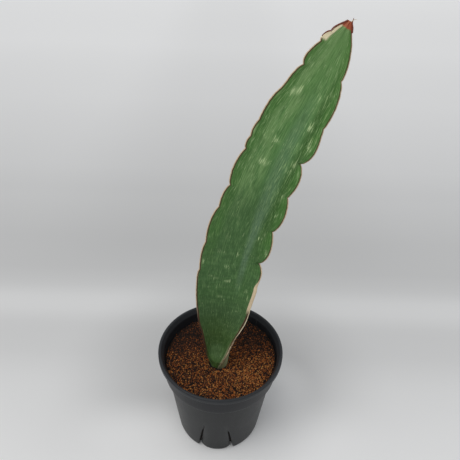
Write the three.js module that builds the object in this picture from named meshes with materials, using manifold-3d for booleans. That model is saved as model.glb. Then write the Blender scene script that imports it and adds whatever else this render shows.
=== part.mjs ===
// A snake plant leaf standing in a small nursery pot of granular soil.
// Millimetres, +Z up. The origin is on the pot's axis, on the surface that it stands on.
// The leaf shows its face to -Y and leans towards +X.

import * as THREE from 'three';
import Module from 'manifold-3d';

const wasm = await Module();
wasm.setup();

// Driving dimensions of the pot
const POT_HEIGHT = 99;
const LIP_RADIUS = 55;
const LIP_WIDTH = 2.7;
const LIP_DROP = 4.6;
const LIP_CHAMFER = 0.6;
const WALL = 1.3;
const COLLAR_TOP_RADIUS = 51.7;
const COLLAR_FOOT_RADIUS = 50.5;
const COLLAR_DROP = 23.4;
const COLLAR_CHAMFER = 1;
const WALL_TOP_RADIUS = 47.7;
const FOOT_RADIUS = 38.9;
const FOOT_ROUNDING = 1.8;

// The underside: a flat pad in the middle, a raised ring and the ring that the pot stands on
const PAD_RADIUS = 12;
const STANDING_RING = 2.4;
const UNDERSIDE_RISE = 2.5;
const RISE_RUN = 2;
const FLOOR = 1.5;

// Three tongues round the foot, their sides drawn in and open as drain slits
const TONGUES = 3;
const TONGUE_AZIMUTH = -3.5;
const TONGUE_HALF_ANGLE = 21.6;
const TONGUE_NARROWING = 0.205;
const TONGUE_TOP = 52;
const TONGUE_DEPTH = 2.6;
const SLIT_TOP = 36;
const SLIT_WIDTH = 2.3;
const SLIT_TAPER = 0.45;
const SLIT_INSET = 0.15;
const SLIT_STRIP_ANGLE = 4;

// The soil. Its surface rises towards +X.
const CLEARANCE = 0.3;
const SOIL_LEVEL = 86.6;
const SOIL_SLOPE = 0.035;
const SOIL_RELIEF = 0.75;
const SOIL_RINGS = 13;
const SOIL_SEED = 20;

// The leaf. Each row: height, x and y of its middle line, half width measured over the
// curved face, curl of the face from its middle to its margin in radians, and the angle in
// degrees by which the face turns towards -X
const LEAF_STATIONS = [
  [60, 1.0, -0.5, 10.4, 2.65, 26],
  [84, 0.9, -0.8, 16.2, 2.85, 24],
  [98, 0.5, -1.8, 17.2, 2.20, 23],
  [118, -0.5, -2.8, 16.4, 1.30, 15],
  [145, 0.9, -2.4, 21.3, 0.80, 6],
  [180, 4.6, 0.4, 24.8, 0.50, 1],
  [215, 11.3, 5, 25.6, 0.42, 0],
  [255, 24.5, 12, 24.6, 0.36, 0],
  [295, 41.7, 21, 23.0, 0.32, 0],
  [330, 59.5, 30, 17.2, 0.28, 0],
  [350, 69.2, 35, 10.0, 0.25, 0],
  [362, 75.4, 38, 1.2, 0.25, 0],
];
const LEAF_ROW_STEP = 4;
const LEAF_COLUMNS = 10;

// The leaf's thickness along its middle by height, and at its margins
const THICKNESS_STATIONS = [[60, 4.2], [130, 4.2], [200, 3.4], [300, 2.7], [362, 1.6]];
const MARGIN_THICKNESS = 1.2;
const MARGIN_ROUNDING = 0.5;
const THICKNESS_FALL = 0.8;

// The fleshy foot of the leaf fills its channel in front, up to a part of the way to the
// middle of its curl, and the filling fades out between two heights
const FILLING = 3.4;
const FILLING_LIMIT = 0.86;
const FILLING_TOP = 92;
const FILLING_END = 120;

// Notches between the waves of the two margins: height, how far the notch draws in, and how
// far the lobe above it stands out
const RIGHT_NOTCHES = [
  [100, 0, 0], [122, 1.0, -0.4], [141, 0.9, -0.3], [162, 0.5, -0.3], [178, 1.4, -0.7],
  [198, 5.6, 0.2], [228, 3.9, 0.6], [256, 3.2, -0.4], [280, 5.3, 0.6], [306, 0.9, 1.1],
  [333, 1.8, 0], [362, 0, 0],
];
const LEFT_NOTCHES = [
  [100, 0, 0], [128, 0.2, 0.5], [150, -0.3, 0.9], [175, -0.6, 0.9], [188, 0.3, 0.3],
  [210, 0.9, 0.8], [236, 1.4, -0.6], [252, 2.1, 0.6], [276, 1.4, 0.1], [284, 0.5, 0.6],
  [294, 0.2, 0.8], [314, 0.7, -1.0], [331, 2.4, 0.1], [346, 0.7, 0.9], [353, 1.0, 0],
  [362, 0, 0],
];
const WAVE_WIDTH = 0.42;
const WAVE_REACH = 1;
const WAVE_SWING = 0.6;
const LOBE_ROUNDNESS = 0.7;

const DEGREE = Math.PI / 180;

// Random numbers from 0 to 1 that are the same on every run
function seededRandom(seed) {
  let state = seed;
  return () => {
    state = (state * 1664525 + 1013904223) % 4294967296;
    return state / 4294967296;
  };
}

// Reads a smooth curve through rows of [position, value, ...] at a position
function along(rows, position, column) {
  const last = rows.length - 1;
  let i = 0;
  while (i < last - 1 && position > rows[i + 1][0]) i += 1;
  const slopeAt = (k) => {
    const before = rows[Math.max(k - 1, 0)];
    const after = rows[Math.min(k + 1, last)];
    return (after[column] - before[column]) / (after[0] - before[0]);
  };
  const span = rows[i + 1][0] - rows[i][0];
  const s = (position - rows[i][0]) / span;
  const rise = s * s * (3 - 2 * s);
  const startSlope = slopeAt(i) * span * s * (1 - s) * (1 - s);
  const endSlope = slopeAt(i + 1) * span * s * s * (1 - s);
  return rows[i][column] * (1 - rise) + rows[i + 1][column] * rise + startSlope - endSlope;
}

// Makes an indexed geometry with its faces turned outwards
function closedGeometry(points, triangles) {
  let volume = 0;
  for (const [a, b, c] of triangles) {
    volume += points[a].dot(new THREE.Vector3().crossVectors(points[b], points[c]));
  }
  const outward = volume > 0 ? triangles : triangles.map(([a, b, c]) => [a, c, b]);
  const geometry = new THREE.BufferGeometry();
  geometry.setFromPoints(points);
  geometry.setIndex(outward.flat());
  return geometry;
}

// Skins a stack of rings that have as many points each, and closes it with a point at each end
function skinRings(rings, firstPoint, lastPoint) {
  const count = rings[0].length;
  const points = [...rings.flat(), firstPoint, lastPoint];
  const first = points.length - 2;
  const last = points.length - 1;
  const top = (rings.length - 1) * count;
  const triangles = [];
  for (let j = 0; j < count; j += 1) {
    const next = (j + 1) % count;
    triangles.push([first, next, j]);
    triangles.push([last, top + j, top + next]);
    for (let i = 0; i < rings.length - 1; i += 1) {
      const low = i * count;
      const high = low + count;
      triangles.push([low + j, low + next, high + next]);
      triangles.push([low + j, high + next, high + j]);
    }
  }
  return closedGeometry(points, triangles);
}

function toSolid(geometry) {
  return new wasm.Manifold(new wasm.Mesh({
    numProp: 3,
    vertProperties: new Float32Array(geometry.attributes.position.array),
    triVerts: new Uint32Array(geometry.index.array),
  }));
}

function toGeometry(solid) {
  const mesh = solid.getMesh();
  const geometry = new THREE.BufferGeometry();
  geometry.setAttribute('position', new THREE.BufferAttribute(mesh.vertProperties, 3));
  geometry.setIndex(new THREE.BufferAttribute(mesh.triVerts, 1));
  return geometry;
}

// The angle from a tongue's middle to its side, at a height
function tongueSide(z) {
  return TONGUE_HALF_ANGLE - TONGUE_NARROWING * Math.min(z, TONGUE_TOP);
}

// The columns of one tongue's sector, as angles at the foot
function sectorColumns() {
  const half = 180 / TONGUES;
  const inner = [0.36, 0.66, 0.88, 1].map((part) => part * TONGUE_HALF_ANGLE);
  const edge = TONGUE_HALF_ANGLE + SLIT_STRIP_ANGLE;
  const outer = [0, 0.12, 0.3, 0.52, 0.76].map((part) => edge + part * (half - edge));
  const positive = [...inner, ...outer];
  return [-half, ...positive.map((angle) => -angle).reverse(), 0, ...positive];
}

// The same number of columns, evenly spread
function evenRing(radius) {
  const count = TONGUES * sectorColumns().length;
  const first = (TONGUE_AZIMUTH - 180 / TONGUES) * DEGREE;
  return Array.from({ length: count }, (_, j) => {
    const angle = first + j * 2 * Math.PI / count;
    return new THREE.Vector3(radius * Math.sin(angle), -radius * Math.cos(angle), 0);
  });
}

// A point of the pot's wall: radius and height, on a column of a sector. The columns lean
// with the tongue's sides, and the tongue's sides are drawn in towards the axis.
function wallPoint(radius, z, sector, column) {
  const half = 180 / TONGUES;
  const side = tongueSide(z);
  const away = Math.abs(column);
  const inside = away <= TONGUE_HALF_ANGLE;
  const leaned = inside
    ? away * side / TONGUE_HALF_ANGLE
    : side + (away - TONGUE_HALF_ANGLE) * (half - side) / (half - TONGUE_HALF_ANGLE);
  const fade = THREE.MathUtils.smoothstep(TONGUE_TOP - z, 0, TONGUE_TOP);
  const drawnIn = inside ? TONGUE_DEPTH * fade * (away / TONGUE_HALF_ANGLE) ** 3 : 0;
  const reach = Math.min(radius / FOOT_RADIUS, 1) ** 4;
  const angle = (TONGUE_AZIMUTH + sector * 2 * half + Math.sign(column) * leaned) * DEGREE;
  const r = radius - drawnIn * reach;
  return new THREE.Vector3(r * Math.sin(angle), -r * Math.cos(angle), z);
}

function wallRing([radius, z]) {
  const ring = [];
  for (let sector = 0; sector < TONGUES; sector += 1) {
    ring.push(...sectorColumns().map((column) => wallPoint(radius, z, sector, column)));
  }
  return ring;
}

const COLLAR_FOOT = POT_HEIGHT - COLLAR_DROP;
const LIP_FOOT = POT_HEIGHT - LIP_DROP;
const FLOOR_TOP = UNDERSIDE_RISE + FLOOR;

// The outer radius of the tapered wall under the collar, at a height
function wallRadius(z) {
  return FOOT_RADIUS + (WALL_TOP_RADIUS - FOOT_RADIUS) * z / COLLAR_FOOT;
}

// The outer radius of the collar, at a height
function collarRadius(z) {
  const part = (z - COLLAR_FOOT) / (LIP_FOOT - COLLAR_FOOT);
  return COLLAR_FOOT_RADIUS + (COLLAR_TOP_RADIUS - COLLAR_FOOT_RADIUS) * part;
}

// Heights of the rings of the wall, closer together along the tongues
const WALL_HEIGHTS = [7, 13, 19, 25, 31, 37, 44, TONGUE_TOP];

// Points on a quarter or half circle, from one angle in degrees to another
function arc(radius, z, size, from, to, steps) {
  return Array.from({ length: steps + 1 }, (_, i) => {
    const angle = (from + (to - from) * i / steps) * DEGREE;
    return [radius + size * Math.cos(angle), z + size * Math.sin(angle)];
  });
}

// The outside, from the pad under the pot up the wall and over the lip
function potOutside() {
  const ringInside = FOOT_RADIUS - FOOT_ROUNDING - STANDING_RING;
  const lipHalf = LIP_WIDTH / 2;
  return [
    [PAD_RADIUS, 0],
    [PAD_RADIUS + RISE_RUN, UNDERSIDE_RISE],
    [ringInside - RISE_RUN, UNDERSIDE_RISE],
    [ringInside, 0],
    ...arc(FOOT_RADIUS - FOOT_ROUNDING, FOOT_ROUNDING, FOOT_ROUNDING, -90, 0, 2),
    ...WALL_HEIGHTS.map((z) => [wallRadius(z), z]),
    [WALL_TOP_RADIUS, COLLAR_FOOT],
    [COLLAR_FOOT_RADIUS, COLLAR_FOOT + COLLAR_CHAMFER],
    [COLLAR_TOP_RADIUS, LIP_FOOT],
    [LIP_RADIUS - LIP_CHAMFER, LIP_FOOT],
    [LIP_RADIUS, LIP_FOOT + LIP_CHAMFER],
    ...arc(LIP_RADIUS - lipHalf, POT_HEIGHT - lipHalf, lipHalf, 0, 180, 4),
  ];
}

// The inner wall from the lip down to the middle of the floor, drawn in by a gap
function potInside(gap) {
  const lower = [...WALL_HEIGHTS].reverse();
  return [
    [COLLAR_TOP_RADIUS - WALL - gap, LIP_FOOT],
    [collarRadius(SOIL_LEVEL) - WALL - gap, SOIL_LEVEL],
    [COLLAR_FOOT_RADIUS - WALL - gap, COLLAR_FOOT + COLLAR_CHAMFER + WALL + gap],
    [WALL_TOP_RADIUS - WALL - gap, COLLAR_FOOT + WALL + gap],
    ...lower.map((z) => [wallRadius(z) - WALL - gap, z]),
    [wallRadius(FLOOR_TOP) - WALL - gap, FLOOR_TOP + gap],
    [PAD_RADIUS + 0.5 * RISE_RUN - gap, FLOOR_TOP + gap],
    [PAD_RADIUS - 0.5 * RISE_RUN - gap, FLOOR + gap],
  ];
}

// A wedge that opens one side of a tongue from the underside up to the slit's top
function slitCutter(sector, direction) {
  const corner = (radius, z, shift) => {
    const angle = (TONGUE_AZIMUTH + sector * 360 / TONGUES + direction * tongueSide(z)) * DEGREE;
    const point = new THREE.Vector3(radius * Math.sin(angle), -radius * Math.cos(angle), z);
    const across = new THREE.Vector3(Math.cos(angle), Math.sin(angle), 0);
    return point.addScaledVector(across, direction * shift);
  };
  const inside = FOOT_RADIUS - FOOT_ROUNDING - STANDING_RING - 2 * RISE_RUN;
  const outside = COLLAR_FOOT_RADIUS;
  const rings = [-0.05, 0.2, 0.4, 0.6, 0.8, 0.93, 1].map((part) => {
    const z = part * SLIT_TOP;
    const rounding = part === 1 ? 0.5 : 1;
    const far = SLIT_INSET + SLIT_WIDTH * (1 - SLIT_TAPER * part) * rounding;
    const near = SLIT_INSET;
    const nearSide = [corner(inside, z, near), corner(outside, z, near)];
    return [...nearSide, corner(outside, z, far), corner(inside, z, far)];
  });
  const middle = (ring) => ring.reduce((sum, p) => sum.add(p), new THREE.Vector3()).divideScalar(4);
  return skinRings(rings, middle(rings[0]), middle(rings[rings.length - 1]));
}

function potGeometry() {
  const rings = [...potOutside(), ...potInside(0)].map(wallRing);
  const underside = new THREE.Vector3(0, 0, 0);
  const floorMiddle = new THREE.Vector3(0, 0, FLOOR);
  let pot = toSolid(skinRings(rings, underside, floorMiddle));
  for (let sector = 0; sector < TONGUES; sector += 1) {
    for (const direction of [-1, 1]) {
      pot = pot.subtract(toSolid(slitCutter(sector, direction)));
    }
  }
  return toGeometry(pot);
}

// How far a margin stands out at a height, between its notches and its rounded lobes, and
// how deep in a notch it is
function marginAt(notches, z) {
  const last = notches.length - 1;
  if (z <= notches[0][0] || z >= notches[last][0]) return { reach: 0, depth: 0 };
  let i = 0;
  while (z > notches[i + 1][0]) i += 1;
  const part = (z - notches[i][0]) / (notches[i + 1][0] - notches[i][0]);
  const drawnIn = THREE.MathUtils.lerp(notches[i][1], notches[i + 1][1], part);
  const lobe = Math.sin(Math.PI * part) ** LOBE_ROUNDNESS;
  return { reach: THREE.MathUtils.lerp(-drawnIn, notches[i][2], lobe), depth: drawnIn * (1 - lobe) };
}

// The leaf's own axes at a height: a point of its middle line, the way across and the way
// that its face looks
function leafFrame(z) {
  const spot = (height) => new THREE.Vector3(
    along(LEAF_STATIONS, height, 1), along(LEAF_STATIONS, height, 2), height,
  );
  const up = spot(z + 0.5).sub(spot(z - 0.5)).normalize();
  const across = new THREE.Vector3().crossVectors(up, new THREE.Vector3(0, -1, 0)).normalize();
  const face = new THREE.Vector3().crossVectors(across, up).normalize();
  const turn = along(LEAF_STATIONS, z, 5) * DEGREE;
  const turned = (from, towards, angle) => from.clone().multiplyScalar(Math.cos(angle))
    .addScaledVector(towards, Math.sin(angle));
  return { middle: spot(z), across: turned(across, face, turn), face: turned(face, across, -turn) };
}

// The radius of the leaf's curl at a height
function bendRadius(z) {
  return along(LEAF_STATIONS, z, 3) / along(LEAF_STATIONS, z, 4);
}

// A point of the leaf. side runs from -1 at the left margin to 1 at the right one, and lift
// is the distance in front of the middle of the leaf's thickness.
function leafPoint(z, side, lift, extra = 0) {
  const { middle, across, face } = leafFrame(z);
  const { reach, depth } = marginAt(side > 0 ? RIGHT_NOTCHES : LEFT_NOTCHES, z);
  const nearMargin = THREE.MathUtils.smoothstep(Math.abs(side), 1 - WAVE_WIDTH, WAVE_REACH);
  const halfWidth = along(LEAF_STATIONS, z, 3) + reach * nearMargin + extra;
  const bend = bendRadius(z);
  const angle = side * halfWidth / bend;
  const wave = -Math.sign(side) * WAVE_SWING * depth * nearMargin;
  const radius = bend - lift - wave;
  return middle.addScaledVector(across, radius * Math.sin(angle))
    .addScaledVector(face, bend - radius * Math.cos(angle));
}

// One closed blade from a lowest height up to a highest one. Both faces are split into
// triangles alike. grow makes it fatter all round, for the hole that it stands in.
function leafGeometry(lowest, highest, grow = 0) {
  const rows = Math.round((highest - lowest) / LEAF_ROW_STEP);
  const ring = 2 * LEAF_COLUMNS + 4;
  const points = [];
  for (let i = 0; i <= rows; i += 1) {
    const z = lowest + (highest - lowest) * i / rows;
    const swell = (along(THICKNESS_STATIONS, z, 1) - MARGIN_THICKNESS) / 2;
    const filling = FILLING * (1 - THREE.MathUtils.smoothstep(z, FILLING_TOP, FILLING_END));
    const filled = FILLING_LIMIT * bendRadius(z);
    const back = (side) => MARGIN_THICKNESS / 2 + swell * (1 - side * side) ** THICKNESS_FALL;
    const front = (side) => Math.min(back(side) + filling * (1 - side * side), filled);
    const sides = Array.from({ length: LEAF_COLUMNS + 1 }, (_, j) => -1 + 2 * j / LEAF_COLUMNS);
    points.push(...sides.map((side) => leafPoint(z, side, front(side) + grow)));
    points.push(leafPoint(z, 1, 0, MARGIN_ROUNDING + grow));
    points.push(...sides.map((side) => leafPoint(z, side, -back(side) - grow)).reverse());
    points.push(leafPoint(z, -1, 0, MARGIN_ROUNDING + grow));
  }
  const triangles = [];
  const backStart = LEAF_COLUMNS + 2;
  for (let i = 0; i < rows; i += 1) {
    for (let j = 0; j < ring; j += 1) {
      const a = i * ring + j;
      const b = i * ring + (j + 1) % ring;
      const c = b + ring;
      const d = a + ring;
      const onBack = j >= backStart;
      triangles.push(...(onBack ? [[a, b, d], [b, c, d]] : [[a, b, c], [a, c, d]]));
    }
  }
  for (const [row, flip] of [[0, true], [rows, false]]) {
    const at = (j) => row * ring + j;
    const behind = (j) => row * ring + ring - 2 - j;
    const faces = [[at(LEAF_COLUMNS), at(LEAF_COLUMNS + 1), behind(LEAF_COLUMNS)]];
    faces.push([at(0), behind(0), at(ring - 1)]);
    for (let j = 0; j < LEAF_COLUMNS; j += 1) {
      faces.push([at(j), at(j + 1), behind(j + 1)], [at(j), behind(j + 1), behind(j)]);
    }
    triangles.push(...(flip ? faces.map(([a, b, c]) => [a, c, b]) : faces));
  }
  return closedGeometry(points, triangles);
}

const LEAF_FOOT = LEAF_STATIONS[0][0];
const LEAF_TIP = LEAF_STATIONS[LEAF_STATIONS.length - 1][0];

// The soil fills the pot and is grainy on top, with a plain hole where the leaf stands
function soilGeometry() {
  const random = seededRandom(SOIL_SEED);
  const surface = (x) => SOIL_LEVEL + SOIL_SLOPE * x;
  const inside = potInside(CLEARANCE).filter(([, z]) => z < SOIL_LEVEL).reverse();
  const kept = (row, i) => i < 3 || i % 2 === 0 || i > inside.length - 3;
  const wall = inside.filter(kept).map(wallRing);
  const edgeRadius = collarRadius(SOIL_LEVEL) - WALL - 2 * CLEARANCE;
  const edge = wallRing([edgeRadius, SOIL_LEVEL]);
  edge.forEach((point) => { point.z = surface(point.x) - SOIL_RELIEF; });
  const rings = [...wall, edge];
  for (let i = SOIL_RINGS - 1; i > 0; i -= 1) {
    const ring = evenRing(edgeRadius * i / SOIL_RINGS);
    ring.forEach((point) => { point.z = surface(point.x) + SOIL_RELIEF * (2 * random() - 1); });
    rings.push(ring);
  }
  const underside = new THREE.Vector3(0, 0, FLOOR + CLEARANCE);
  const middle = new THREE.Vector3(0, 0, surface(0));
  const body = toSolid(skinRings(rings, underside, middle));
  const hole = toSolid(leafGeometry(LEAF_FOOT - CLEARANCE, POT_HEIGHT, CLEARANCE));
  return toGeometry(body.subtract(hole));
}

const FINISHES = {
  pot: { color: 0x3e3f41, roughness: 0.5, metalness: 0 },
  soil: { color: 0x5a3a24, roughness: 0.95, metalness: 0 },
  leaf: { color: 0x4a6f45, roughness: 0.45, metalness: 0 },
};

function piece(name, geometry) {
  geometry.computeVertexNormals();
  const mesh = new THREE.Mesh(geometry, new THREE.MeshStandardMaterial(FINISHES[name]));
  mesh.name = name;
  return mesh;
}

const group = new THREE.Group();
group.add(piece('pot', potGeometry()));
group.add(piece('soil', soilGeometry()));
group.add(piece('leaf', leafGeometry(LEAF_FOOT, LEAF_TIP)));

export default group;
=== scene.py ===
import itertools
import math
import random
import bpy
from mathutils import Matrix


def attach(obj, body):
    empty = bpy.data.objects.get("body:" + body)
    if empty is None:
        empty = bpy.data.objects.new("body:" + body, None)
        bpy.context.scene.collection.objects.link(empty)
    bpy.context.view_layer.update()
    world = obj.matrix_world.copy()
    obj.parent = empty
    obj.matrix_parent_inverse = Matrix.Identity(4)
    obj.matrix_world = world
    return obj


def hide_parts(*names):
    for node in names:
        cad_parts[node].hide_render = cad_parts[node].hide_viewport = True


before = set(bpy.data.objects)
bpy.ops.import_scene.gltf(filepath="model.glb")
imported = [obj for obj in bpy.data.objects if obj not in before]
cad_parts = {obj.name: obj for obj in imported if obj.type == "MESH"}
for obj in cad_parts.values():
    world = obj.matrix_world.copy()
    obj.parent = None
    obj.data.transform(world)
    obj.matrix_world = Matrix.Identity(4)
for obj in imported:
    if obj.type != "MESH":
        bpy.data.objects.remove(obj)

from types import SimpleNamespace

import bmesh
import bpy
import numpy as np
from mathutils import Matrix, Quaternion, Vector, noise

# A snake plant leaf in a small nursery pot of granular soil. Sizes are in millimetres as
# in the part's source, and become metres where a mesh is made.
MM = 0.001
DEGREE = math.pi / 180
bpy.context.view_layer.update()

# The pot
POT_HEIGHT = 99
LIP_RADIUS = 55
LIP_WIDTH = 2.7
LIP_DROP = 4.6
LIP_CHAMFER = 0.6
WALL = 1.3
COLLAR_TOP_RADIUS = 51.7
COLLAR_FOOT_RADIUS = 50.5
COLLAR_DROP = 23.4
COLLAR_CHAMFER = 1
WALL_TOP_RADIUS = 47.7
FOOT_RADIUS = 38.9
FOOT_ROUNDING = 1.8
PAD_RADIUS = 12
STANDING_RING = 2.4
UNDERSIDE_RISE = 2.5
RISE_RUN = 2
PAD_STEP = 1
FLOOR = 1.5
FLOOR_ROUNDING = 1.5
INSIDE_STEP = 1.5
COLLAR_FOOT = POT_HEIGHT - COLLAR_DROP
LIP_FOOT = POT_HEIGHT - LIP_DROP
FLOOR_TOP = UNDERSIDE_RISE + FLOOR

# Rings, rows and steps of the pot's mesh, and the angle in degrees at which an edge is sharp
CENTRE_RING = 1
PAD_RING = 6
FLOOR_RING = 22
SLIT_ROWS = 24
WALL_ROWS = 22
COLLAR_ROWS = 10
INSIDE_COLLAR_ROWS = 12
INSIDE_WALL_ROWS = 16
ROUNDING_STEPS = 5
CHAMFER_STEPS = 3
LIP_STEPS = 14
SHARP_ANGLE = 32

# The pot's three tongues and their slits
TONGUES = 3
TONGUE_AZIMUTH = -3.5
TONGUE_HALF_ANGLE = 21.6
TONGUE_NARROWING = 0.205
TONGUE_TOP = 52
TONGUE_DEPTH = 2.6
TONGUE_COLUMNS = 16
SHOULDER_ANGLE = 4
SHOULDER_LEAST = 0.4
SHOULDER_COLUMNS = 5
WALL_COLUMNS = 22
SLIT_TOP = 36
SLIT_WIDTH = 2.3
SLIT_TAPER = 0.45
SLIT_LEAST = 0.03
SLIT_CROWN = 0.1
SLIT_INSET = 0.15
SLIT_END = 30.7
# A fine crease runs on up from the front tongue's left slit
CREASE_TOP = 49
CREASE_DEPTH = 0.9

# The soil
SOIL_LEVEL = 86.6
SOIL_SINK = 0.4
SOIL_SLOPE = 0.035
SOIL_RADIUS = 49
SOIL_LUMPS = 0.9
LUMP_PITCH = 17
# It rises a little towards the wall, between these radii, most on the right
HEAP = 0.6
HEAP_SPAN = (38, 49)
HEAP_ON_LEFT = 0.2
# The solid under the grains, and the heights of its rings down the wall
BODY_DEPTH = 0.5
BODY_ROUGHNESS = 0.35
BODY_OVERLAP = 0.5
BODY_GAP = 0.4
BODY_STEP = 2
BODY_COLUMNS = 120
BODY_RINGS = 40
BODY_HEIGHTS = (82, 79, 75, 60, 45, 30, 15, 4.6)
# Layers of grains: name, count, smallest and largest size, height of their middles over the
# soil's surface, and seed of their shapes
GRAIN_LAYERS = [
    ("soil_grains_low", 7000, 0.9, 1.7, -0.45, 7015),
    ("soil_grains_top", 7400, 0.7, 1.4, 0.10, 7415),
]
GRAIN_SEED = 11
GRAIN_SMALLNESS = 1.6
GRAIN_SCATTER = 0.35
GRAIN_STRETCH = (0.72, 1.25)
GRAIN_DENTS = (0.78, 1.15)
LEAF_CLEARANCE = 2.1
DUST_COUNT = 4200
DUST_SIZES = (0.35, 0.8)
DUST_LARGEST = 0.6
DUST_RISES = (-0.1, 0.75)
DUST_SEED = 7
CRUMB_COUNT = 150
CRUMB_RADII = (SOIL_RADIUS - 0.8, SOIL_RADIUS + 0.1)
CRUMB_SIZES = (0.4, 0.9)
CRUMB_RISES = (0.2, 1.4)
CRUMB_SHADES = (0.2, 0.8)
CRUMB_SEEDS = (3, 23)
# The grains are lighter at the front right, and lightest in one patch there
WARM_SPOT = (27, -20)
WARM_SPREAD = 900
PALE_PATCH = (26, -19)
PATCH_SPREAD = 90
USUAL_SHADE = 0.40
PALEST_SHADE = 0.94

# The leaf. Each row: height, x and y of its middle line, half width measured over the
# curved face, curl of the face from its middle to its margin in radians, and the angle in
# degrees by which the face turns towards -X
LEAF_STATIONS = [
    [60, 1.0, -0.5, 10.4, 2.65, 26],
    [84, 0.9, -0.8, 16.2, 2.85, 24],
    [98, 0.5, -1.8, 17.2, 2.20, 23],
    [118, -0.5, -2.8, 16.4, 1.30, 15],
    [145, 0.9, -2.4, 21.3, 0.80, 6],
    [180, 4.6, 0.4, 24.8, 0.50, 1],
    [215, 11.3, 5, 25.6, 0.42, 0],
    [255, 24.5, 12, 24.6, 0.36, 0],
    [295, 41.7, 21, 23.0, 0.32, 0],
    [330, 59.5, 30, 17.2, 0.28, 0],
    [350, 69.2, 35, 10.0, 0.25, 0],
    [362, 75.4, 38, 1.2, 0.25, 0],
]
THICKNESS_STATIONS = [[60, 4.2], [130, 4.2], [200, 3.4], [300, 2.7], [362, 1.6]]
MARGIN_THICKNESS = 1.2
MARGIN_ROUNDING = 0.5
# Notches between the waves of the margins: height, how far the notch draws in, and how far
# the lobe above it stands out
RIGHT_NOTCHES = [
    [100, 0, 0], [122, 1.0, -0.4], [141, 0.9, -0.3], [162, 0.5, -0.3], [178, 1.4, -0.7],
    [198, 5.6, 0.2], [228, 3.9, 0.6], [256, 3.2, -0.4], [280, 5.3, 0.6], [306, 0.9, 1.1],
    [333, 1.8, 0], [362, 0, 0],
]
LEFT_NOTCHES = [
    [100, 0, 0], [128, 0.2, 0.5], [150, -0.3, 0.9], [175, -0.6, 0.9], [188, 0.3, 0.3],
    [210, 0.9, 0.8], [236, 1.4, -0.6], [252, 2.1, 0.6], [276, 1.4, 0.1], [284, 0.5, 0.6],
    [294, 0.2, 0.8], [314, 0.7, -1.0], [331, 2.4, 0.1], [346, 0.7, 0.9], [353, 1.0, 0],
    [362, 0, 0],
]
WAVE_WIDTH = 0.42
WAVE_REACH = 1
WAVE_SWING = 0.6
LOBE_ROUNDNESS = 0.7
THICKNESS_FALL = 0.8
# The margins are finely ragged, more so where the right one is torn near the foot
RAGGED = 0.22
RAGGED_PITCH = 0.45
RAGGED_LANE = 7
TORN = 0.5
TORN_SPAN = (128, 112)
# The face ripples slightly over the foot
RIPPLE = 0.5
RIPPLE_ACROSS = 2.2
RIPPLE_PITCH = 0.05
RIPPLE_SPAN = (95, 130)
# Flesh fills the channel of the face low on the leaf
FILLING = 3.4
FILLING_LIMIT = 0.86
FILLING_TOP = 92
FILLING_END = 120
# Its mesh
LEAF_COLUMNS = 96
LEAF_ROW_STEP = 1
EVEN_SPACING = 0.6
RIM_STEPS = 5

# Pale blotches of the face: height, side from -1 at the left margin to 1 at the right one,
# half length along the leaf, half width across it in sides, and strength
BLOTCHES = [
    [334, -0.62, 2.6, 0.12, 0.6], [336, -0.02, 2.0, 0.10, 0.4], [335, 0.42, 2.0, 0.16, 0.3],
    [318, -0.37, 3.2, 0.10, 1.0], [316, -0.57, 3.4, 0.13, 0.9], [324, 0.75, 2.6, 0.14, 0.6],
    [320, 0.46, 2.2, 0.10, 0.45], [330, 0.58, 1.8, 0.10, 0.35], [309, 0.90, 2.4, 0.08, 0.45],
    [302, 0.55, 3.4, 0.08, 0.9], [302, -0.40, 2.4, 0.16, 0.35], [293, 0.76, 3.0, 0.08, 0.8],
    [290, 0.84, 2.4, 0.06, 0.6], [291, -0.42, 2.6, 0.12, 0.5], [287, -0.22, 2.6, 0.16, 0.7],
    [292, -0.70, 2.2, 0.08, 0.4], [286, -0.58, 2.4, 0.08, 0.45], [277, -0.63, 1.8, 0.10, 0.6],
    [278, 0.64, 3.6, 0.10, 0.8], [282, 0.12, 3.0, 0.10, 0.4], [272, -0.27, 3.0, 0.24, 0.75],
    [262, -0.42, 2.6, 0.12, 0.35], [256, 0.76, 3.2, 0.08, 0.55], [250, -0.52, 2.6, 0.14, 0.3],
    [241, 0.78, 2.4, 0.08, 0.45], [232, -0.30, 2.8, 0.22, 0.35], [225, 0.68, 3.6, 0.07, 0.6],
    [222, 0.55, 2.6, 0.06, 0.4], [215, -0.37, 2.8, 0.10, 0.55], [211, 0.90, 3.2, 0.06, 0.7],
    [214, -0.92, 2.6, 0.05, 0.4], [203, -0.45, 2.6, 0.18, 0.4], [202, 0.10, 3.0, 0.06, 0.45],
    [195, -0.91, 2.6, 0.06, 0.6], [191, -0.15, 2.0, 0.12, 0.5], [186, 0.30, 2.0, 0.12, 0.3],
    [182, -0.62, 1.4, 0.14, 0.5], [180, -0.40, 1.6, 0.14, 0.6], [178, -0.03, 1.8, 0.13, 0.8],
    [176, 0.32, 2.4, 0.16, 0.4], [171, 0.66, 3.0, 0.16, 0.35], [163, -0.20, 2.2, 0.14, 0.6],
    [160, -0.02, 2.0, 0.05, 0.5], [164, 0.82, 3.0, 0.10, 0.45], [151, 0.60, 1.6, 0.20, 0.35],
    [158, -0.86, 2.0, 0.08, 0.3], [147, -0.36, 1.6, 0.20, 0.25], [133, 0.36, 1.6, 0.16, 0.35],
    [138, 0.60, 1.6, 0.18, 0.3], [131, -0.45, 2.0, 0.10, 0.3], [121, 0.30, 1.8, 0.16, 0.25],
]
# Those of the back are drawn at random, four to a row, within spans of side, half length,
# half width and strength
BACK_ROWS = range(115, 345, 13)
BACK_STRAY = 5
BACK_SPANS = [(-0.9, 0.9), (2, 4), (0.06, 0.16), (0.3, 0.8)]
BACK_SEED = 4

# Where flesh closes the rolled foot between its margins, and how far it swells
CLOSED_TOP = 112
CLOSED_FOOT = 95
CLOSED_SWELL = 1.2

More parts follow.
